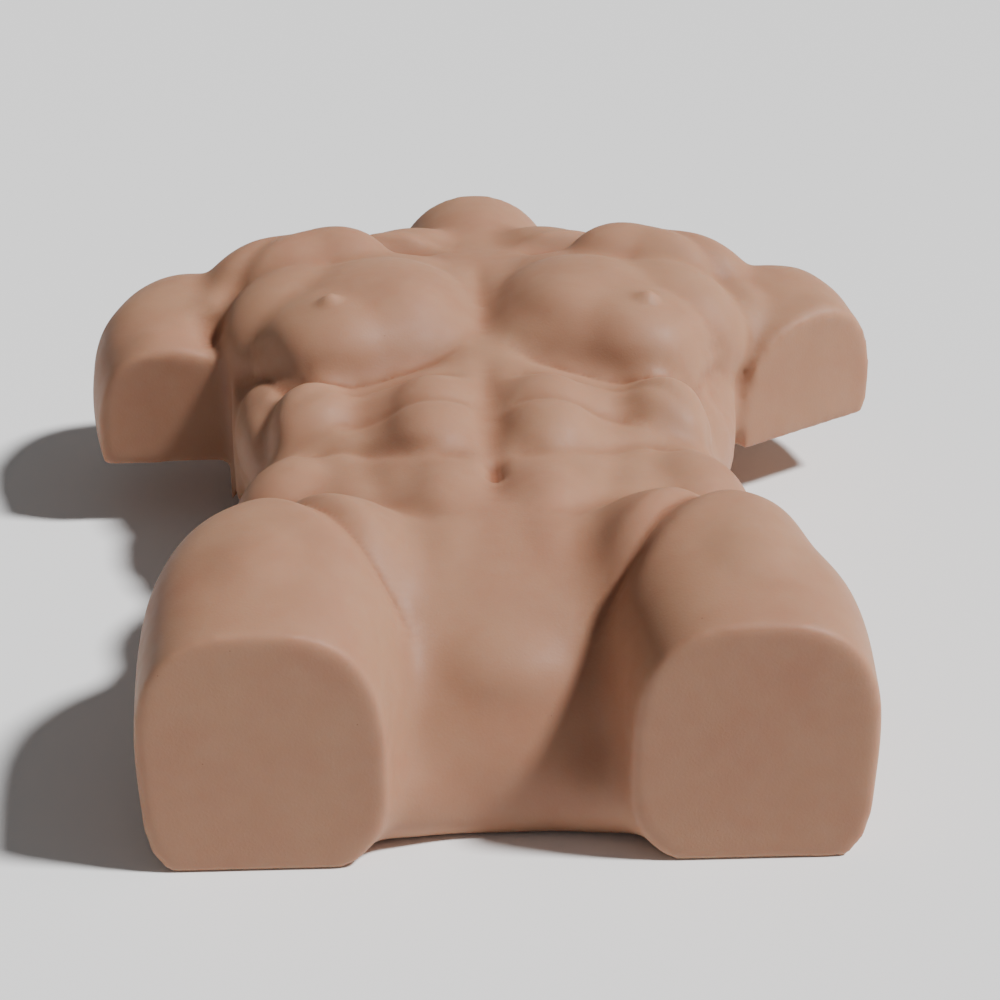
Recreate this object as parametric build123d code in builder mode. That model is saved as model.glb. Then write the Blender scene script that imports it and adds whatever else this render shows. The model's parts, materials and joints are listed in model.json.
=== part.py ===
"""A soft torso mannequin that lies on its back: trunk, neck, two arm stumps and two thigh stumps.

A thick elastomer skin is cast over foam cores: two halves for the trunk and one piece for each
arm. The trunk's halves are closed round a flat frame of steel tubes held in cast fittings by set
screws. +X is the figure's left, +Y points from the thighs to the neck, and the back rests on the
plane Z = 0. Millimetres throughout.
"""

from build123d import *
import os
from math import atan2, cos, degrees, radians, sin

# ---- lengths along the body, from the thigh cuts to the neck cut ----
thigh_stub = 44.0  # cut face to crotch
crotch_to_seat = 46.0
seat_to_hip = 62.0
hip_to_iliac = 78.0
iliac_to_waist = 62.0
waist_to_ribs = 74.0
ribs_to_chest = 74.0
chest_to_upper_chest = 84.0
upper_chest_to_shoulder = 66.0
shoulder_to_collar = 34.0
collar_to_neck_cut = 76.0

# ---- trunk sections: full width, and height of the front above the floor ----
crotch_width, crotch_height = 150.0, 92.0
seat_width, seat_height = 340.0, 140.0
hip_width, hip_height = 412.0, 166.0
iliac_width, iliac_height = 366.0, 160.0
waist_width, waist_height = 334.0, 158.0
rib_width, rib_height = 356.0, 172.0
chest_width, chest_height = 398.0, 190.0
upper_chest_width, upper_chest_height = 420.0, 188.0
shoulder_width, shoulder_height = 300.0, 168.0
collar_width, collar_height = 176.0, 160.0
back_flat = 9.0  # how far the soft back is pressed flat where it rests

# ---- thighs ----
thigh_spacing = 284.0  # centre to centre at the cut
thigh_width, thigh_height = 148.0, 160.0
groin_spacing = 236.0  # centre to centre where the thighs enter the hips
groin_width, groin_height = 170.0, 164.0
thigh_root_width, thigh_root_height = 150.0, 140.0  # where a thigh ends inside the hips
thigh_flat = 12.0

# ---- neck ----
neck_width, neck_height = 130.0, 128.0
neck_axis_height = 104.0

# ---- arms: each is cut across at its own angle; places are in plan, X outwards and Y ----
arm_cut_width = 98.0
deltoid_width = 138.0
arm_axis_height = 92.0
right_arm_cut, left_arm_cut = (245.0, 90.0), (242.5, 131.0)
right_arm_turn, left_arm_turn = 3.0, 31.0  # each cut face's turn away from square
shoulder_centre_place = (218.0, 222.0)  # both arms' axes run through here
deltoid_to_centre = 58.0  # from the widest part of the arm to that place
shoulder_round = 28.0  # from that place to the top of the shoulder's round

# ---- skin and core ----
skin_thickness = 30.0
arm_skin_thickness = 38.0  # thicker round the arms, whose cores are pieces of their own
bond_gap = 0.3  # the adhesive film between skin and core

# ---- frame ----
frame_height = 93.0
tube_radius, tube_wall = 12.5, 2.0
fit_clearance = 0.25
fitting_wall = 4.0
fitting_hub = 18.0  # from a fitting's centre to where its tubes stop
socket_depth = 30.0
hip_bar_station = 158.0  # from the thigh cuts
hip_elbow_spread = 98.0  # from the body's middle
shoulder_bar_station = 536.0
shoulder_bar_spread = 150.0  # from the body's middle to the end of a shoulder bar
post_margin = 16.0  # from a post's end to the end of the core round it
foam_clearance = 1.0

# ---- end plugs and set screws ----
plug_flange, plug_overhang = 4.0, 1.5
plug_grip = 16.0  # how far a plug goes into its tube
plug_clearance = 0.1
screw_radius, screw_clearance = 3.0, 0.1
screw_proud = 1.0
screw_key, screw_key_depth = 3.0, 2.5

# ---- worked out from the sizes above ----
steps = [
    thigh_stub, crotch_to_seat, seat_to_hip, hip_to_iliac, iliac_to_waist, waist_to_ribs,
    ribs_to_chest, chest_to_upper_chest, upper_chest_to_shoulder, shoulder_to_collar,
]
body_length = sum(steps) + collar_to_neck_cut
thigh_cut_y, neck_cut_y = -body_length / 2, body_length / 2
stations = [thigh_cut_y + sum(steps[: i + 1]) for i in range(len(steps))]
seat_y, hip_y = stations[1], stations[2]
trunk_sections = [
    (crotch_width, crotch_height),
    (seat_width, seat_height),
    (hip_width, hip_height),
    (iliac_width, iliac_height),
    (waist_width, waist_height),
    (rib_width, rib_height),
    (chest_width, chest_height),
    (upper_chest_width, upper_chest_height),
    (shoulder_width, shoulder_height),
    (collar_width, collar_height),
]
right, left = -1, 1
sides = {right: "right", left: "left"}
arm_cuts = {right: right_arm_cut, left: left_arm_cut}
arm_turns = {right: right_arm_turn, left: left_arm_turn}
fitting_radius = tube_radius + fit_clearance + fitting_wall
fitting_reach = fitting_hub + socket_depth
hip_bar_y = thigh_cut_y + hip_bar_station
shoulder_bar_y = thigh_cut_y + shoulder_bar_station


def across(y):
    """The upright plane square to the body at y, seen from the thighs."""
    return Plane(origin=(0, y, 0), x_dir=(1, 0, 0), z_dir=(0, -1, 0))


def floor_ring(y, x, width, height, flat, inset):
    """A closed ring square to the body, whose lowest part reaches flat below the floor."""
    with BuildSketch(across(y)) as ring:
        with Locations((x, (height - flat) / 2)):
            Ellipse((height + flat) / 2 - inset, width / 2 - inset, rotation=-90)
    return ring.sketch


def trunk(inset):
    """The trunk, as one smooth loft from the crotch to the collar."""
    places = [stations[0] + inset] + stations[1:-1] + [stations[-1] - inset]
    with BuildPart() as shape:
        for y, (width, height) in zip(places, trunk_sections):
            add(floor_ring(y, 0, width, height, back_flat, inset))
        loft()
    return shape.part


def thigh(side, inset):
    """One thigh stump, from its cut face to where it ends inside the hips."""
    spread, root_spread = side * thigh_spacing / 2, side * groin_spacing / 2
    with BuildPart() as shape:
        add(floor_ring(thigh_cut_y + inset, spread, thigh_width, thigh_height, thigh_flat, inset))
        middle_spread = (spread + root_spread) / 2
        add(floor_ring(seat_y, middle_spread, groin_width, groin_height, thigh_flat, inset))
        add(floor_ring(hip_y, root_spread, thigh_root_width, thigh_root_height, thigh_flat, inset))
        loft()
    return shape.part


def arm(side, inset):
    """One arm stump, turned about its own axis: full at the deltoid and round at the shoulder."""
    cut_face = Vector(side * arm_cuts[side][0], arm_cuts[side][1], arm_axis_height)
    shoulder = Vector(side * shoulder_centre_place[0], shoulder_centre_place[1], arm_axis_height)
    run = shoulder - cut_face
    outline = Plane(origin=shoulder, x_dir=run, z_dir=run.cross(Vector(0, 0, -1)))
    tip, below = shoulder_round - inset, -run.length - arm_cut_width / 2
    turn = radians(side * arm_turns[side])
    inwards = Vector(-sin(turn), cos(turn), 0)
    with BuildPart() as shape:
        with BuildSketch(outline):
            with BuildLine():
                Spline((below, arm_cut_width / 2 - inset),
                       (-deltoid_to_centre, deltoid_width / 2 - inset), (tip, 0),
                       tangents=((1, 0), (0, -1)))
                Polyline((tip, 0), (below, 0), (below, arm_cut_width / 2 - inset))
            make_face()
        revolve(axis=Axis(shoulder, run))
        split(bisect_by=Plane(origin=cut_face + inwards * inset, z_dir=inwards), keep=Keep.TOP)
    return shape.part


def neck(inset):
    """The neck stump, which starts inside the shoulders."""
    with BuildPart() as shape:
        with BuildSketch(across(neck_cut_y - inset)):
            with Locations((0, neck_axis_height)):
                Ellipse(neck_height / 2 - inset, neck_width / 2 - inset, rotation=-90)
        extrude(amount=collar_to_neck_cut + shoulder_to_collar)
    return shape.part


def body_form(inset, arms=()):
    """Trunk, thighs, neck and the given arms, drawn in by inset and flat underneath."""
    with BuildPart() as form:
        add(trunk(inset))
        for side in sides:
            add(thigh(side, inset))
        for side in arms:
            add(arm(side, inset))
        add(neck(inset))
        with Locations((0, 0, inset)):
            Box(body_length * 2, body_length * 2, body_length, mode=Mode.INTERSECT,
                align=(Align.CENTER, Align.CENTER, Align.MIN))
    return form.part


def run_plane(start, end, along=0.0):
    """The plane at a distance along the line from start to end, square to that line."""
    direction = (end - start).normalized()
    return Plane(origin=start + direction * along, x_dir=(0, 0, 1), z_dir=direction)


def frame_tube(start, end, first, last):
    """A steel tube on the line from start to end."""
    with BuildPart() as shape:
        with BuildSketch(run_plane(start, end, first)):
            Circle(tube_radius)
            Circle(tube_radius - tube_wall, mode=Mode.SUBTRACT)
        extrude(amount=(end - start).length - first - last)
    return shape.part


def fitting(centre, ends):
    """A cast fitting with one blind socket, and one screw hole, towards each of the ends."""
    with BuildPart() as shape:
        with Locations(centre):
            Sphere(fitting_radius)
        for end in ends:
            with BuildSketch(run_plane(centre, end)):
                Circle(fitting_radius)
            extrude(amount=fitting_reach)
        for end in ends:
            with BuildSketch(run_plane(centre, end, fitting_hub)):
                Circle(tube_radius + fit_clearance)
            extrude(amount=socket_depth, mode=Mode.SUBTRACT)
            with BuildSketch(screw_plane(centre, end)):
                Circle(screw_radius + screw_clearance)
            extrude(amount=fitting_radius, mode=Mode.SUBTRACT)
    return shape.part


def screw_plane(centre, end):
    """The level plane through a socket's middle, on the tube's axis."""
    middle = run_plane(centre, end, fitting_hub + socket_depth / 2).origin
    return Plane(origin=middle, z_dir=(0, 0, 1))


def set_screws(centre, ends):
    """The cup-point screws of one fitting, tight on their tubes, each with a hexagon socket."""
    length = fitting_radius + screw_proud - tube_radius
    with BuildPart() as shape:
        for end in ends:
            base = screw_plane(centre, end)
            with BuildSketch(base.offset(tube_radius)):
                Circle(screw_radius)
            extrude(amount=length)
            with BuildSketch(base.offset(tube_radius + length - screw_key_depth)):
                RegularPolygon(screw_key / 2, 6, major_radius=False)
            extrude(amount=screw_key_depth, mode=Mode.SUBTRACT)
    return shape.part


def end_plug(start, end):
    """A domed moulded plug in the end of the tube that runs from start to end."""
    insert = tube_radius - tube_wall - plug_clearance
    rim = tube_radius + plug_overhang
    base = run_plane(start, end, (end - start).length)
    with BuildPart() as shape:
        with BuildSketch(base):
            Circle(rim)
        extrude(amount=plug_flange)
        fillet(shape.faces().sort_by(lambda f: (f.center() - start).length)[-1].edges(),
               plug_flange * 0.7)
        with BuildSketch(base):
            Circle(insert)
        extrude(amount=-plug_grip)
        chamfer(shape.faces().sort_by(lambda f: (f.center() - start).length)[0].edges(), 1.0)
    return shape.part


def point(x, y):
    """A point on the frame's level."""
    return Vector(x, y, frame_height)


# ---- the frame's corners and the free ends of its posts ----
hip_centre, shoulder_centre = point(0, hip_bar_y), point(0, shoulder_bar_y)
hip_corner = {s: point(s * hip_elbow_spread, hip_bar_y) for s in sides}
shoulder_end = {s: point(s * shoulder_bar_spread, shoulder_bar_y) for s in sides}
post_cover = skin_thickness + post_margin
thigh_end = {s: point(s * thigh_spacing / 2, thigh_cut_y + post_cover) for s in sides}
neck_end = point(0, neck_cut_y - post_cover)

corner = fitting_hub + fit_clearance  # where a tube stops inside a fitting
tubes = {
    "spine_tube": (hip_centre, shoulder_centre, corner),
    "neck_post": (shoulder_centre, neck_end, 0),
}
plugs = {"neck_plug": (shoulder_centre, neck_end)}
fittings = {
    "hip_tee": (hip_centre, [shoulder_centre, hip_corner[right], hip_corner[left]]),
    "shoulder_cross": (
        shoulder_centre,
        [hip_centre, neck_end, shoulder_end[right], shoulder_end[left]],
    ),
}
for side, word in sides.items():
    tubes[f"{word}_hip_bar"] = (hip_centre, hip_corner[side], corner)
    tubes[f"{word}_thigh_post"] = (hip_corner[side], thigh_end[side], 0)
    tubes[f"{word}_shoulder_bar"] = (shoulder_centre, shoulder_end[side], 0)
    plugs[f"{word}_thigh_plug"] = (hip_corner[side], thigh_end[side])
    plugs[f"{word}_shoulder_plug"] = (shoulder_centre, shoulder_end[side])
    fittings[f"{word}_hip_elbow"] = (hip_corner[side], [hip_centre, thigh_end[side]])


def channel_outline():
    """The frame's outline in plan, with clearance all round, as the routed channel's shape."""
    runs = [(start, end, tube_radius + plug_overhang) for start, end, last in tubes.values()]
    for centre, ends in fittings.values():
        for end in ends:
            reach = centre + (end - centre).normalized() * fitting_reach
            runs.append((centre, reach, fitting_radius))
    with BuildSketch() as outline:
        for start, end, radius in runs:
            run = end - start
            middle = (start + end) / 2
            with Locations((middle.X, middle.Y)):
                SlotCenterToCenter(run.length, 2 * (radius + foam_clearance),
                                   rotation=degrees(atan2(run.Y, run.X)))
    return outline.sketch


def core_half(direction):
    """The front (1) or back (-1) half of the foam core, with the frame's channel routed in it."""
    depth = fitting_radius + screw_proud + foam_clearance
    with BuildPart() as half:
        add(core_form)
        with Locations((0, 0, frame_height)):
            Box(body_length * 2, body_length * 2, body_length, mode=Mode.INTERSECT,
                align=(Align.CENTER, Align.CENTER, Align.MIN if direction > 0 else Align.MAX))
        with BuildSketch(Plane.XY.offset(frame_height)):
            add(frame_outline)
        extrude(amount=direction * depth, mode=Mode.SUBTRACT)
    return half.part


made = {}
with BuildPart() as skin:
    add(body_form(0, arms=sides))
    add(body_form(skin_thickness), mode=Mode.SUBTRACT)
    for side in sides:
        add(arm(side, arm_skin_thickness), mode=Mode.SUBTRACT)
made["skin"] = skin.part
for side, word in sides.items():
    made[f"{word}_arm_core"] = arm(side, arm_skin_thickness + bond_gap)

core_form = body_form(skin_thickness + bond_gap)
frame_outline = channel_outline()
made["front_core"] = core_half(1)
made["back_core"] = core_half(-1)

for name, (start, end, last) in tubes.items():
    made[name] = frame_tube(start, end, corner, last)
for name, (start, end) in plugs.items():
    made[name] = end_plug(start, end)
for name, (centre, ends) in fittings.items():
    made[name] = fitting(centre, ends)
    made[f"{name}_screws"] = set_screws(centre, ends)

os.makedirs("parts", exist_ok=True)
for name, shape in made.items():
    shape.label = name
    export_step(shape, f"parts/{name}.step")
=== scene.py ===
import json
import math

import bpy
import numpy as np
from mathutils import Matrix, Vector


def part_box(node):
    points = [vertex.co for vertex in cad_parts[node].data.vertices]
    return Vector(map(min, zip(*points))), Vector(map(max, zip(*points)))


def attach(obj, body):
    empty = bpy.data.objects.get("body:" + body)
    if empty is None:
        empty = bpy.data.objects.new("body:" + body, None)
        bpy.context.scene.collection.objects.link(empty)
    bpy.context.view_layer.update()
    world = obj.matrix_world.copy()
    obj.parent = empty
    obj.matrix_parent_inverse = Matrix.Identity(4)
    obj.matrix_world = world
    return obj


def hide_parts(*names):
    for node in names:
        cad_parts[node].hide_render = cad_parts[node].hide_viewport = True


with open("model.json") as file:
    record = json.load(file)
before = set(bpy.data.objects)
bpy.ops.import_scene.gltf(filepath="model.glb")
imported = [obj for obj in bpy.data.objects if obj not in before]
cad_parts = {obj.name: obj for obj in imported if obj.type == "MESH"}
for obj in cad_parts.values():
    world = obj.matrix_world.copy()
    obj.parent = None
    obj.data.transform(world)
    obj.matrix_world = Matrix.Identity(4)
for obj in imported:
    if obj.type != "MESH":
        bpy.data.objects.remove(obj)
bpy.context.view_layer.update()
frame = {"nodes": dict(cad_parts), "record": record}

MM = 0.001  # sizes below are millimetres; Blender works in metres

# The figure lies on its back: +X is its left, +Y runs from the thigh cuts to the neck cut, Z is up.
low, high = (Vector(corner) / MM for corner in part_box("skin"))
THIGH_CUT, NECK_CUT = low.y, high.y
OVERRUN = 30.0  # how far a stump is modelled past its cut, before it is cut
RING_POINTS = 48  # round each section of a limb


# ---- tools for blocking out -----------------------------------------------------------------

def deselect():
    """Leaves object mode with nothing selected."""
    if bpy.context.mode != "OBJECT":
        bpy.ops.object.mode_set(mode="OBJECT")
    bpy.ops.object.select_all(action="DESELECT")


def pick(*objects):
    """Selects these objects alone and makes the first one active."""
    deselect()
    for one in objects:
        one.select_set(True)
    bpy.context.view_layer.objects.active = objects[0]


def settle(piece):
    """Moves the piece's place, turn and scale into its mesh."""
    pick(piece)
    bpy.ops.object.transform_apply(location=True, rotation=True, scale=True)


def lump(at, radii, tilt=(0, 0, 0)):
    """One rounded mass of clay: an ellipsoid at a place, with its three radii and its tilt."""
    deselect()
    bpy.ops.mesh.primitive_uv_sphere_add(
        segments=36, ring_count=22, radius=MM,
        location=[v * MM for v in at],
        rotation=[math.radians(v) for v in tilt],
        scale=radii,
    )
    piece = bpy.context.object
    settle(piece)
    return piece


def lumps(at, radii, tilt=(0, 0, 0)):
    """The same mass on both sides of the body."""
    return [
        lump((side * at[0], at[1], at[2]), radii, (tilt[0], side * tilt[1], side * tilt[2]))
        for side in (1, -1)
    ]


def limb(rings, squareness=2.0, spin=0.0):
    """A closed tube through upright rings: (x, y, half width, bottom, top), spun about Z in plan."""
    deselect()
    lean = math.radians(spin)
    bpy.ops.mesh.primitive_circle_add(vertices=RING_POINTS, radius=MM, fill_type="NGON")
    piece = bpy.context.object
    bpy.ops.object.mode_set(mode="EDIT")
    bpy.ops.mesh.select_all(action="SELECT")
    for ring in rings[1:]:
        bpy.ops.mesh.extrude_region_move(TRANSFORM_OT_translate={"value": (0, 0, MM)})
    bpy.ops.object.mode_set(mode="OBJECT")
    by_level = {}
    for vertex in piece.data.vertices:
        by_level.setdefault(round(vertex.co.z / MM), []).append(vertex)
    for level, (x, y, half, bottom, top) in enumerate(rings):
        for vertex in by_level[level]:
            turn = math.atan2(vertex.co.y, vertex.co.x)
            across, up = math.cos(turn), math.sin(turn)
            across = math.copysign(abs(across) ** (2 / squareness), across)
            up = math.copysign(abs(up) ** (2 / squareness), up)
            vertex.co = (
                (x + half * across * math.cos(lean)) * MM,
                (y + half * across * math.sin(lean)) * MM,
                ((bottom + top) / 2 + (top - bottom) / 2 * up) * MM,
            )
    bpy.ops.object.mode_set(mode="EDIT")
    bpy.ops.mesh.select_all(action="SELECT")
    bpy.ops.mesh.normals_make_consistent(inside=False)
    bpy.ops.object.mode_set(mode="OBJECT")
    return piece


def limbs(rings, squareness=2.0, spin=0.0):
    """The same limb on both sides of the body."""
    return [
        limb([(side * x, *rest) for x, *rest in rings], squareness, side * spin)
        for side in (1, -1)
    ]


def add_modifier(piece, kind, **settings):
    """Adds one modifier with its settings and applies it."""
    modifier = piece.modifiers.new(kind, kind)
    for name, value in settings.items():
        setattr(modifier, name, value)
    pick(piece)
    bpy.ops.object.modifier_apply(modifier=modifier.name)


def merge(masses, grain, rounds):
    """Joins the masses into one skin of the given grain and smooths it so many times."""
    masses = list(masses)
    pick(*masses)
    bpy.ops.object.join()
    body = bpy.context.object
    add_modifier(body, "REMESH", mode="VOXEL", voxel_size=grain * MM, adaptivity=0.0)
    add_modifier(body, "SMOOTH", factor=0.5, iterations=rounds)
    return body


def flat_cut(piece, at, outwards):
    """Cuts everything beyond a plane away and closes the cut."""
    pick(piece)
    bpy.ops.object.mode_set(mode="EDIT")
    bpy.ops.mesh.select_all(action="SELECT")
    bpy.ops.mesh.bisect(
        plane_co=[v * MM for v in at], plane_no=outwards, use_fill=True, clear_outer=True
    )
    bpy.ops.object.mode_set(mode="OBJECT")


def block_cut(piece, at, size, turn):
    """Cuts a box out of the piece; at is the middle of the box."""
    deselect()
    bpy.ops.mesh.primitive_cube_add(
        size=MM, location=[v * MM for v in at], rotation=(0, 0, math.radians(turn)), scale=size
    )
    block = bpy.context.object
    settle(block)
    add_modifier(piece, "BOOLEAN", operation="DIFFERENCE", solver="EXACT", object=block)
    bpy.data.objects.remove(block)


# ---- the torso, blocked out from large to small ----------------------------------------------

TRUNK = [  # x, y, half width, bottom, top
    (0, -325, 62, -2, 50),
    (0, -303, 98, -8, 88),
    (0, -278, 134, -10, 114),
    (0, -250, 162, -10, 130),
    (0, -222, 184, -10, 140),
    (0, -192, 200, -10, 147),
    (0, -160, 195, -8, 148),
    (0, -120, 181, 0, 147),
    (0, -85, 170, 10, 148),
    (0, -50, 164, 14, 151),
    (0, -15, 166, 12, 155),
    (0, 20, 172, 4, 159),
    (0, 60, 178, -4, 163),
    (0, 100, 184, -8, 167),
    (0, 150, 190, -10, 170),
    (0, 195, 188, -8, 170),
    (0, 228, 168, 0, 166),
    (0, 252, 130, 12, 158),
    (0, 276, 84, 26, 152),
]
THIGH = [
    (142, THIGH_CUT - OVERRUN, 71, -12, 158),
    (142, THIGH_CUT, 72, -12, 160),
    (140, -300, 78, -12, 168),
    (136, -255, 83, -12, 174),
    (129, -215, 82, -8, 175),
    (118, -178, 72, 6, 163),
    (106, -148, 56, 24, 138),
]
NECK = [
    (0, 236, 80, 24, 158),
    (0, 275, 71, 32, 166),
    (0, 310, 66, 38, 170),
    (0, NECK_CUT + OVERRUN, 66, 40, 171),
]
RIGHT_ARM = [
    (-230, 40, 52, 0, 137),
    (-231, 90, 55, 0, 141),
    (-234, 130, 62, 2, 150),
    (-230, 170, 69, 10, 157),
    (-222, 205, 67, 20, 157),
    (-206, 238, 50, 40, 142),
]
LEFT_ARM = [
    (272, 66, 58, 0, 138),
    (259, 104, 60, 0, 142),
    (243, 144, 64, 4, 150),
    (233, 176, 68, 12, 157),
    (222, 207, 67, 22, 157),
    (206, 238, 50, 40, 142),
]


def block_out_trunk():
    """The big masses: trunk, thighs, neck, and the round of the shoulders."""
    masses = [limb(TRUNK, squareness=2.35)]
    masses += limbs(THIGH, squareness=2.7)
    masses += [limb(NECK)]
    masses += lumps((205, 205, 96), (62, 58, 60), (0, 0, 20))
    masses += lumps((62, -272, 26), (64, 66, 42))
    masses += lumps((180, -346, 30), (34, 62, 40))
    return merge(masses, grain=6, rounds=30)


def shape_muscles(body):
    """The large muscles over the trunk: chest, shoulders, back, flanks, buttocks and thighs."""
    masses = [body, limb(RIGHT_ARM, squareness=2.4), limb(LEFT_ARM, squareness=2.4, spin=20)]
    # chest: a broad plate each side, lower and fuller towards its outer corner
    masses += lumps((82, 118, 142), (80, 92, 50), (0, 5, 8))
    masses += lumps((50, 112, 146), (58, 84, 34))
    masses += lumps((66, 178, 142), (66, 50, 36))
    masses += lumps((112, 78, 141), (60, 64, 47), (0, 12, -10))
    masses += lumps((140, 140, 134), (56, 72, 50), (0, 20, 30))
    # front of the shoulder, up to the collar bone, and the round of the deltoid
    masses += lumps((150, 200, 140), (72, 46, 50), (0, 12, -8))
    masses += lumps((186, 172, 116), (54, 66, 46), (0, 24, 30))
    masses += lumps((226, 192, 96), (64, 66, 63), (0, 0, 12))
    masses += lumps((112, 208, 160), (46, 35, 33), (0, 6, 14))
    masses += lumps((58, 258, 130), (66, 36, 42), (0, 0, -22))
    masses += lumps((108, 232, 130), (60, 34, 40), (0, 0, -18))
    # side of the back, from the armpit to the waist
    masses += lumps((152, 82, 84), (36, 112, 56), (0, 0, -5))
    # rib cage's lower margin
    masses += lumps((118, -6, 120), (38, 46, 37), (0, 18, 24))
    # flanks over the hip bones
    masses += lumps((130, -104, 92), (44, 62, 50), (0, 6, 10))
    # straight muscles of the belly
    masses += lumps((38, -36, 128), (40, 90, 36))
    masses += lumps((32, -150, 120), (38, 96, 32))
    # smooth closed pelvis
    masses += [lump((0, -236, 84), (80, 70, 40))]
    # fronts of the thighs
    masses += lumps((142, -262, 110), (62, 92, 66), (0, 0, 4))
    masses += lumps((100, -268, 84), (40, 78, 60), (0, 0, 8))
    # buttocks
    masses += lumps((74, -222, 46), (78, 88, 56), (0, 0, 0))
    # shoulder blades and the long muscles beside the spine
    masses += lumps((88, 140, 20), (58, 78, 30), (0, 0, 14))
    masses += lumps((30, -20, 30), (26, 150, 24))
    return merge(masses, grain=4.2, rounds=12)


def cut_stumps(body):
    """The flat cuts: thighs, neck, both arms and the surface the back rests on."""
    flat_cut(body, (0, THIGH_CUT, 0), (0, -1, 0))
    flat_cut(body, (0, NECK_CUT, 0), (0, 1, 0))
    flat_cut(body, (0, 0, 0), (0, 0, -1))
    block_cut(body, (-278, 1, 90), (192, 176, 300), 2.5)
    block_cut(body, (327, 106, 90), (260, 120, 300), 31.9)
    for side in (1, -1):
        block_cut(body, (side * 292, 160, -60), (200, 330, 220), 0)


def block_out_torso():
    """The whole torso up to its medium forms."""
    body = block_out_trunk()
    body = shape_muscles(body)
    cut_stumps(body)
    # the side of the back beside the right arm's cut, whole again
    flank = lump((-146, 34, 104), (35, 66, 42))
    body = merge([body, flank], grain=3.36, rounds=12)
    body.name = "torso_skin"
    return body


# ---- relief: grooves and mounds pressed into the skin, one by one ----------------------------

def flow(points, step=4.0):
    """Even points along a smooth curve through these ones."""
    points = np.array(points, float)
    padded = np.vstack([2 * points[0] - points[1], points, 2 * points[-1] - points[-2]])
    curve = []
    for before, start, end, after in zip(padded, padded[1:], padded[2:], padded[3:]):
        count = max(2, int(np.linalg.norm(end - start) / step))
        for t in np.linspace(0, 1, count, endpoint=False):
            curve.append(
                0.5 * (2 * start + (end - before) * t
                       + (2 * before - 5 * start + 4 * end - after) * t**2
                       + (3 * start - before - 3 * end + after) * t**3)
            )
    curve.append(points[-1])
    return np.array(curve)


class Relief:
    """The skin's points and normals in millimetres, and the strokes that move them."""

    def __init__(self, piece):
        self.piece = piece
        self.read()

    def read(self):
        """Takes the points and normals as they now are."""
        mesh = self.piece.data
        count = len(mesh.vertices)
        points, normals = np.empty(count * 3), np.empty(count * 3)
        mesh.vertices.foreach_get("co", points)
        mesh.vertices.foreach_get("normal", normals)
        self.points = points.reshape(-1, 3) / MM
        self.normals = normals.reshape(-1, 3)

    def write(self):
        """Puts the moved points back into the mesh."""
        self.piece.data.vertices.foreach_set("co", (self.points * MM).ravel())
        self.piece.data.update()
        self.read()

    def facing(self, face):
        """How far each point belongs to the front (1) or the back (-1), from 0 to 1."""
        return np.clip((face * self.normals[:, 2] + 0.15) / 0.45, 0, 1)

    def groove(self, path, depth, width, face=1, fade=0.25, sharp=False):
        """Presses a line in (or raises it, with a negative depth); it fades out at both ends."""
        curve = flow(path)
        share = np.linspace(0, 1, len(curve))
        near = np.full(len(self.points), 1e9)
        strength = np.zeros(len(self.points))
        for place, along in zip(curve, share):
            gap = np.hypot(self.points[:, 0] - place[0], self.points[:, 1] - place[1])
            closer = gap < near
            near[closer] = gap[closer]
            strength[closer] = min(1.0, along / fade, (1 - along) / fade) if fade else 1.0
        strength = strength**2 * (3 - 2 * strength)
        if sharp:
            profile = np.clip(1 - near / width, 0, 1) ** 2
        else:
            profile = np.exp(-((near / width) ** 2) * 1.6)
        move = depth * profile * strength * self.facing(face)
        self.points -= self.normals * move[:, None]

    def mound(self, at, radii, height, turn=0.0, face=1, steep=1.0):
        """Raises (or with a negative height sinks) an oval area."""
        lean = math.radians(turn)
        x, y = self.points[:, 0] - at[0], self.points[:, 1] - at[1]
        across = (x * math.cos(lean) + y * math.sin(lean)) / radii[0]
        along = (-x * math.sin(lean) + y * math.cos(lean)) / radii[1]
        reach = (across**2 + along**2) ** steep
        move = height * np.exp(-1.6 * reach) * self.facing(face)
        self.points += self.normals * move[:, None]

    def both(self, stroke, place, *rest, turn=0.0, **settings):
        """The same stroke on both sides of the body."""
        for side in (1, -1):
            if isinstance(place, list):
                there = [(side * x, y) for x, y in place]
            else:
                there = (side * place[0], place[1])
            if stroke == self.mound:
                stroke(there, *rest, turn=side * turn, **settings)
            else:
                stroke(there, *rest, **settings)


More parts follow.
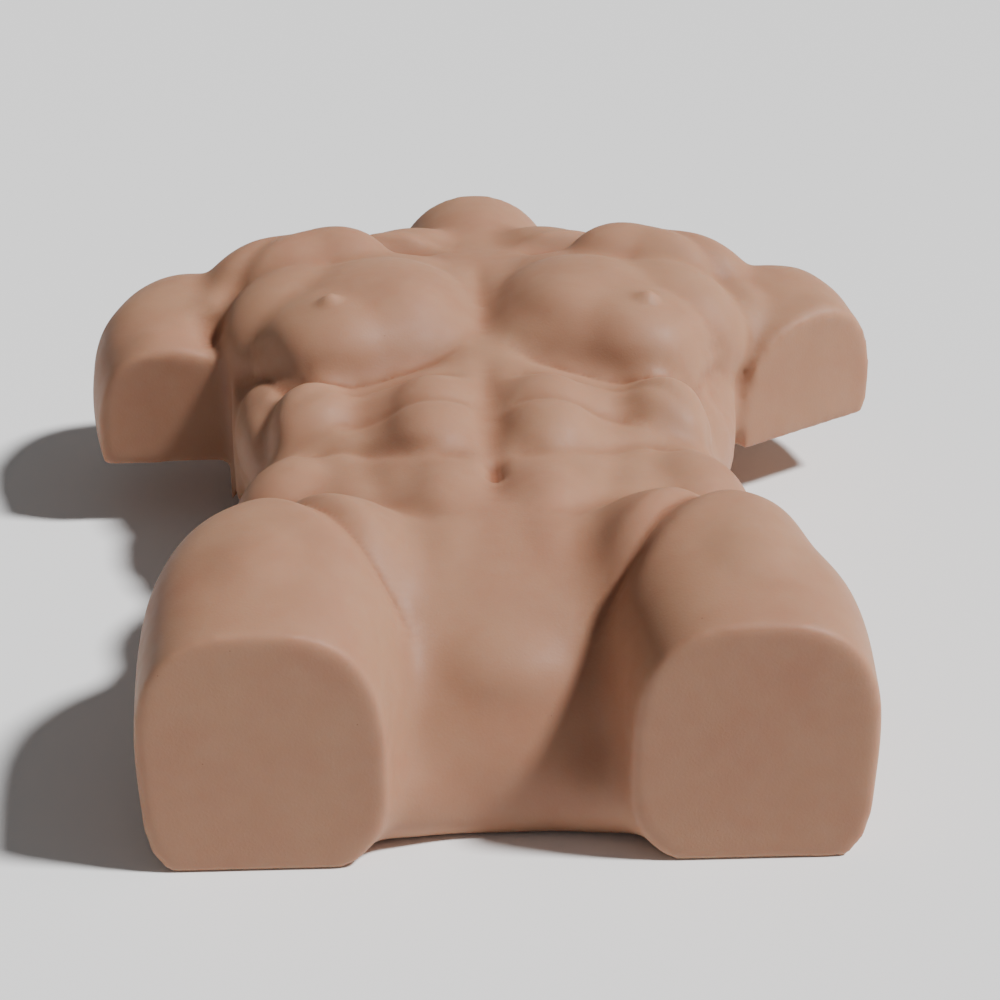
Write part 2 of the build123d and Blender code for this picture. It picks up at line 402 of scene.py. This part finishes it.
def carve_front(relief):
    """The grooves and mounds of the chest, belly, groin and thighs."""
    groove, mound, both = relief.groove, relief.mound, relief.both
    # breast bone and the line down the belly
    groove([(0, 215), (0, 150), (0, 80), (0, 40)], 3.2, 17, fade=0.3)
    groove([(0, 200), (0, 120), (0, 50)], 1.6, 7, fade=0.3)
    groove([(0, 40), (0, -40), (0, -120), (0, -180)], 4.5, 12, fade=0.2)
    # lower edge of the chest
    edge = [(10, 52), (40, 32), (72, 19), (108, 12), (142, 20), (162, 52), (176, 92)]
    both(groove, edge, 5.5, 15, fade=0.18)
    both(groove, edge, 2.2, 6, fade=0.2, sharp=True)
    both(mound, (104, 50), (60, 24), 2.0, turn=-4)
    mound((172, 46), (16, 30), -7.0, turn=-8)
    # the chest: fuller inside, flatter outside
    both(mound, (50, 80), (40, 34), 6.0)
    both(mound, (124, 64), (36, 30), -2.5)
    # between chest and shoulder
    both(groove, [(128, 232), (168, 196), (192, 150), (196, 112)], 4.0, 13, fade=0.3)
    # collar bones
    both(groove, [(16, 236), (60, 246), (104, 250), (150, 238)], -4, 9, fade=0.3)
    both(groove, [(22, 222), (64, 228), (104, 226)], 3, 9, fade=0.3)
    # the belly's blocks
    both(groove, [(4, 8), (40, 6), (78, 2), (112, -10), (146, -34)], 2.8, 9, fade=0.2)
    both(groove, [(2, -36), (40, -42), (84, -38), (112, -42)], 3.2, 10, fade=0.2)
    both(groove, [(2, -96), (36, -100), (68, -88), (104, -68), (136, -74)], 3.6, 11, fade=0.2)
    both(groove, [(10, -188), (44, -180), (72, -158), (104, -142), (134, -130)], 3.4, 13, fade=0.3)
    both(groove, [(92, 14), (88, -36), (84, -92), (72, -150), (50, -205)], 2.6, 15, fade=0.22)
    both(mound, (44, -15), (36, 22), 2.0)
    both(mound, (44, -69), (34, 26), 2.2)
    both(mound, (36, -140), (32, 40), 1.6)
    # ribs and the saw-toothed muscle under the arm
    both(mound, (126, -4), (24, 24), 2.6, turn=-20)
    both(mound, (142, -48), (17, 26), 2.4, turn=-10)
    mound((-166, 22), (16, 22), -4.0, turn=10)  # eases the flank beside the right arm's cut
    both(groove, [(152, 30), (140, 8), (120, 22)], 2.0, 10, fade=0.3)
    both(groove, [(162, 24), (154, -14), (158, -40), (172, -52)], 2.4, 12, fade=0.3)
    # outer side of the left thigh
    mound((200, -226), (34, 62), -9.0, turn=-12)
    # line of the groin
    groin = [(46, -286), (70, -256), (104, -212), (134, -170), (160, -138)]
    both(groove, groin, 7.0, 16, fade=0.25)
    both(groove, groin, 2.4, 6, fade=0.25, sharp=True)
    both(groove, [(66, -236), (96, -200), (126, -166), (150, -138)], -1.6, 12, fade=0.3)
    # navel
    groove([(0, -112), (0, -118), (0, -126)], 6, 7, fade=0)
    # nipples
    for x in (118, -111):
        mound((x, 72), (17, 16), 1.4)
        mound((x, 72), (8.4, 8.0), 5.0, steep=1.5)
    # the arms: full near the cut, hollow towards the chest
    mound((-240, 108), (26, 20), 4.0)
    groove([(-196, 96), (-204, 124), (-214, 152)], 5.0, 13, fade=0.4)
    mound((262, 146), (30, 20), 3.0, turn=32)
    relief.write()


def carve_back(relief):
    """The spine's furrow, the cleft between the buttocks and the shoulder blades' edges."""
    groove, both = relief.groove, relief.both
    groove([(0, 250), (0, 120), (0, 0), (0, -130)], 7, 14, face=-1, fade=0.15)
    groove([(0, -150), (0, -220), (0, -300)], 20, 13, face=-1, fade=0.3)
    both(groove, [(52, 210), (40, 150), (58, 80), (100, 60)], 4, 13, face=-1, fade=0.3)
    relief.write()


torso = block_out_torso()
relief = Relief(torso)
carve_front(relief)
carve_back(relief)
add_modifier(torso, "SMOOTH", factor=0.5, iterations=2)


# ---- materials ------------------------------------------------------------------------------

def colour(code):
    """A linear colour from an sRGB hex value."""
    channels = [int(code[i:i + 2], 16) / 255 for i in (1, 3, 5)]
    return [c / 12.92 if c <= 0.04045 else ((c + 0.055) / 1.055) ** 2.4 for c in channels] + [1]


def add_node(tree, kind, sockets=None, output=0, **settings):
    """Adds a node with its settings; a socket takes a value or the output it is linked from.

    Returns one output of the new node, by name or number.
    """
    made = tree.nodes.new(kind)
    for name, value in settings.items():
        setattr(made, name, value)
    for name, value in (sockets or {}).items():
        if isinstance(value, bpy.types.NodeSocket):
            tree.links.new(value, made.inputs[name])
        else:
            made.inputs[name].default_value = value
    return made.outputs[output] if made.outputs else None


def start_material(name):
    """A new material with nothing in its tree but the object coordinates its patterns read."""
    material = bpy.data.materials.new(name)
    material.use_nodes = True
    tree = material.node_tree
    tree.nodes.clear()
    return material, tree, add_node(tree, "ShaderNodeTexCoord", output="Object")


def finish_material(tree, surface, height, depth):
    """The surface shader and the output, with a bump that is depth millimetres deep."""
    bump = add_node(tree, "ShaderNodeBump", {"Height": height, "Distance": depth * MM,
                                             "Strength": 1.0})
    shader = add_node(tree, "ShaderNodeBsdfPrincipled", {**surface, "Normal": bump})
    add_node(tree, "ShaderNodeOutputMaterial", {"Surface": shader})


def per(size):
    """The scale of a pattern whose features are size millimetres across."""
    return 1 / (size * MM)


NOISE, CELLS, RANGE, MIX = (
    "ShaderNodeTexNoise", "ShaderNodeTexVoronoi", "ShaderNodeMapRange", "ShaderNodeMix"
)
SHARE, FIRST, SECOND, MIXED = 0, 6, 7, 2  # a Mix node's sockets when it mixes colours


def moulded_tpe():
    """Thermoplastic elastomer, cast in a satin mould: soft, oily, and lit from within.

    Light goes some millimetres deep and comes back redder. Over that, the colour holds painted
    shade, darker and redder, in the hollows and a painted glow, lighter, on the proud rims. The
    pigment is not quite even, and fine specks lie just under the surface.
    """
    material, tree, place = start_material("moulded_tpe_skin")
    form = add_node(tree, "ShaderNodeAttribute", attribute_name="form", output="Fac")
    cloud = add_node(tree, NOISE, {"Vector": place, "Scale": per(90), "Detail": 3})
    blotch = add_node(tree, NOISE, {"Vector": place, "Scale": per(22), "Detail": 4})
    clouded = add_node(tree, RANGE, {"Value": cloud, "From Min": 0.35, "From Max": 0.65})
    blotched = add_node(tree, RANGE, {"Value": blotch, "From Min": 0.35, "From Max": 0.7,
                                      "To Max": 0.35})
    # painted shade: the skin's hollows and creases darker and redder
    hollow = add_node(tree, RANGE, {"Value": form, "From Min": 0.5, "From Max": 0.0,
                                    "To Max": 0.6})
    # painted glow: proud rims and edges of the skin lighter
    proud = add_node(tree, RANGE, {"Value": form, "From Min": 0.5, "From Max": 1.0,
                                   "To Max": 0.2})
    tone = add_node(tree, MIX, {SHARE: clouded, FIRST: colour("#A47A60"),
                                SECOND: colour("#A0725A")}, MIXED, data_type="RGBA")
    tone = add_node(tree, MIX, {SHARE: blotched, FIRST: tone,
                                SECOND: colour("#AC866C")}, MIXED, data_type="RGBA")
    # mixes the painted shade into the hollows
    tone = add_node(tree, MIX, {SHARE: hollow, FIRST: tone,
                                SECOND: colour("#7A3F26")}, MIXED, data_type="RGBA")
    # mixes the painted glow onto the proud rims
    tone = add_node(tree, MIX, {SHARE: proud, FIRST: tone,
                                SECOND: colour("#BC9A82")}, MIXED, data_type="RGBA")
    # specks 0.6 to 1 mm across, about 26 mm apart
    specks = add_node(tree, CELLS, {"Vector": place, "Scale": per(26)}, "Distance")
    specked = add_node(tree, RANGE, {"Value": specks, "From Min": 0.022, "From Max": 0.012,
                                     "To Max": 0.45})
    tone = add_node(tree, MIX, {SHARE: specked, FIRST: tone,
                                SECOND: colour("#4E2C1D")}, MIXED, data_type="RGBA")
    oil = add_node(tree, NOISE, {"Vector": place, "Scale": per(14), "Detail": 3})
    rough = add_node(tree, RANGE, {"Value": oil, "From Min": 0.3, "From Max": 0.7,
                                   "To Min": 0.52, "To Max": 0.64})
    grain = add_node(tree, NOISE, {"Vector": place, "Scale": per(1.6), "Detail": 3})
    finish_material(tree, {
        "Base Color": tone, "Roughness": rough, "IOR": 1.49, "Specular IOR Level": 0.28,
        "Subsurface Weight": 0.55, "Subsurface Scale": 9 * MM,
        "Subsurface Radius": (1.0, 0.36, 0.2),
    }, grain, 0.12)
    return material


def open_cell_foam():
    """Flexible polyurethane foam, cut and routed: matt, pale and full of small open cells."""
    material, tree, place = start_material("cut_polyurethane_foam")
    # real cells are about 0.6 mm; drawn at 2 mm so that they show
    edges = add_node(tree, CELLS, {"Vector": place, "Scale": per(2)}, "Distance",
                     feature="DISTANCE_TO_EDGE")
    cells = add_node(tree, RANGE, {"Value": edges, "From Max": 0.25})
    walls = add_node(tree, RANGE, {"Value": edges, "From Max": 0.25, "To Min": 0.35,
                                   "To Max": 0.0})
    age = add_node(tree, NOISE, {"Vector": place, "Scale": per(70)})
    aged = add_node(tree, RANGE, {"Value": age, "From Min": 0.35, "From Max": 0.7})
    tone = add_node(tree, MIX, {SHARE: aged, FIRST: colour("#EFE6C4"),
                                SECOND: colour("#E2D29B")}, MIXED, data_type="RGBA")
    tone = add_node(tree, MIX, {SHARE: walls, FIRST: tone,
                                SECOND: colour("#B9A775")}, MIXED, data_type="RGBA")
    finish_material(tree, {"Base Color": tone, "Roughness": 0.95, "Sheen Weight": 0.2,
                           "Sheen Roughness": 0.6}, cells, -0.5)
    return material


def zinc_plated_tube():
    """Drawn steel tube, zinc plated: a bright grey metal with a faint warm and blue bloom."""
    material, tree, place = start_material("zinc_plated_steel_tube")
    bloom = add_node(tree, NOISE, {"Vector": place, "Scale": per(30), "Detail": 3})
    bloomed = add_node(tree, RANGE, {"Value": bloom, "From Min": 0.4, "From Max": 0.65})
    tone = add_node(tree, MIX, {SHARE: bloomed, FIRST: colour("#B9BDC2"),
                                SECOND: colour("#C9C3AE")}, MIXED, data_type="RGBA")
    wear = add_node(tree, NOISE, {"Vector": place, "Scale": per(6), "Detail": 4})
    rough = add_node(tree, RANGE, {"Value": wear, "From Min": 0.3, "From Max": 0.7,
                                   "To Min": 0.26, "To Max": 0.42})
    grain = add_node(tree, NOISE, {"Vector": place, "Scale": per(1.2)})
    finish_material(tree, {"Base Color": tone, "Metallic": 1.0, "Roughness": rough}, grain, 0.03)
    return material


def galvanised_iron():
    """Malleable iron fittings, sand cast and hot-dip galvanised: grainy, with large spangles."""
    material, tree, place = start_material("galvanised_cast_iron")
    spangle = add_node(tree, CELLS, {"Vector": place, "Scale": per(7)}, "Color")
    shade = add_node(tree, "ShaderNodeSeparateColor", {"Color": spangle}, "Red")
    sheen = add_node(tree, "ShaderNodeSeparateColor", {"Color": spangle}, "Green")
    tone = add_node(tree, MIX, {SHARE: shade, FIRST: colour("#8E9396"),
                                SECOND: colour("#B4B7B6")}, MIXED, data_type="RGBA")
    rough = add_node(tree, RANGE, {"Value": sheen, "To Min": 0.42, "To Max": 0.62})
    sand = add_node(tree, NOISE, {"Vector": place, "Scale": per(1.5), "Detail": 4})
    finish_material(tree, {"Base Color": tone, "Metallic": 1.0, "Roughness": rough}, sand, 0.15)
    return material


def moulded_polyethylene():
    """Injection-moulded polyethylene plugs: soft black plastic with a spark-eroded grain."""
    material, tree, place = start_material("moulded_polyethylene")
    scuff = add_node(tree, NOISE, {"Vector": place, "Scale": per(8), "Detail": 3})
    worn = add_node(tree, RANGE, {"Value": scuff, "From Min": 0.45, "From Max": 0.75})
    tone = add_node(tree, MIX, {SHARE: worn, FIRST: colour("#1C1C1D"),
                                SECOND: colour("#2C2C2D")}, MIXED, data_type="RGBA")
    rough = add_node(tree, RANGE, {"Value": worn, "To Min": 0.48, "To Max": 0.6})
    grain = add_node(tree, NOISE, {"Vector": place, "Scale": per(0.9)})
    finish_material(tree, {"Base Color": tone, "Roughness": rough, "IOR": 1.51}, grain, 0.06)
    return material


def blackened_steel():
    """Alloy steel set screws, oil blackened: near black, with bare steel where a key has rubbed."""
    material, tree, place = start_material("oil_blackened_steel")
    key = add_node(tree, NOISE, {"Vector": place, "Scale": per(2.5), "Detail": 3})
    rubbed = add_node(tree, RANGE, {"Value": key, "From Min": 0.55, "From Max": 0.7})
    tone = add_node(tree, MIX, {SHARE: rubbed, FIRST: colour("#2B2A2D"),
                                SECOND: colour("#77787B")}, MIXED, data_type="RGBA")
    rough = add_node(tree, RANGE, {"Value": rubbed, "To Min": 0.48, "To Max": 0.3})
    grain = add_node(tree, NOISE, {"Vector": place, "Scale": per(0.8)})
    finish_material(tree, {"Base Color": tone, "Metallic": 1.0, "Roughness": rough}, grain, 0.02)
    return material


def mark_form(piece, reach=14, full=1.6):
    """Stores how hollow (0) or proud (1) each point of the skin is; 0.5 is even."""
    mesh = piece.data
    copy = piece.copy()
    copy.data = mesh.copy()
    bpy.context.collection.objects.link(copy)
    add_modifier(copy, "SMOOTH", factor=0.5, iterations=reach)
    count = len(mesh.vertices)
    points, eased, normals = (np.empty(count * 3) for _ in range(3))
    mesh.vertices.foreach_get("co", points)
    mesh.vertices.foreach_get("normal", normals)
    copy.data.vertices.foreach_get("co", eased)
    bpy.data.objects.remove(copy)
    rise = ((points - eased).reshape(-1, 3) * normals.reshape(-1, 3)).sum(1) / MM
    attribute = mesh.attributes.new("form", "FLOAT", "POINT")
    attribute.data.foreach_set("value", np.clip(0.5 + 0.5 * rise / full, 0, 1))


# the form marks where the skin gets painted shade (hollows) and a painted glow (proud rims)
mark_form(torso)
torso.data.materials.append(moulded_tpe())
pick(torso)
bpy.ops.object.shade_smooth()

NODE_FINISHES = {
    "foam": open_cell_foam(),
    "tubes": zinc_plated_tube(),
    "fittings": galvanised_iron(),
    "plugs": moulded_polyethylene(),
    "screws": blackened_steel(),
}
for part in frame["record"]["subparts"]:
    if part["material_slot"] in NODE_FINISHES:
        mesh = frame["nodes"][part["node"]].data
        mesh.materials.clear()
        mesh.materials.append(NODE_FINISHES[part["material_slot"]])

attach(torso, "root")
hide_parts("skin")

# ---- camera, floor and light ----------------------------------------------------------------

CAMERA_PLACE = (-0.048, -1.399, 0.781)
CAMERA_DIP, CAMERA_SWING = 27.2, -2.3  # degrees below level, and round from +Y
LENS = 79.2
FLOOR_SIZE = 20
FLOOR_WHITE = 0.92
SKY_STRENGTH = 0.14
KEY_FROM = (0.62, -0.12, 0.775)  # high, on the figure's left
KEY_STRENGTH, KEY_WIDTH = 5.7, 7  # W/m2, and degrees across, for soft-edged shadows

camera_data = bpy.data.cameras.new("camera")
camera_data.lens = LENS
camera_data.sensor_width = 36
camera = bpy.data.objects.new("camera", camera_data)
camera.location = CAMERA_PLACE
camera.rotation_euler = (math.radians(90 - CAMERA_DIP), 0, math.radians(CAMERA_SWING))
bpy.context.collection.objects.link(camera)
bpy.context.scene.camera = camera

bpy.ops.mesh.primitive_plane_add(size=FLOOR_SIZE, location=(0, 0, 0))
floor = bpy.context.object
floor.name = "floor"
paint = bpy.data.materials.new("floor")
paint.use_nodes = True
paint.node_tree.nodes["Principled BSDF"].inputs["Base Color"].default_value = (
    FLOOR_WHITE, FLOOR_WHITE, FLOOR_WHITE, 1
)
floor.data.materials.append(paint)

world = bpy.data.worlds.new("world")
bpy.context.scene.world = world
world.use_nodes = True
sky = world.node_tree.nodes["Background"]
sky.inputs["Color"].default_value = (1, 1, 1, 1)
sky.inputs["Strength"].default_value = SKY_STRENGTH

key = bpy.data.lights.new("key", "SUN")
key.energy = KEY_STRENGTH
key.angle = math.radians(KEY_WIDTH)
lamp = bpy.data.objects.new("key", key)
lamp.rotation_euler = Vector(KEY_FROM).to_track_quat("Z", "Y").to_euler()
bpy.context.collection.objects.link(lamp)
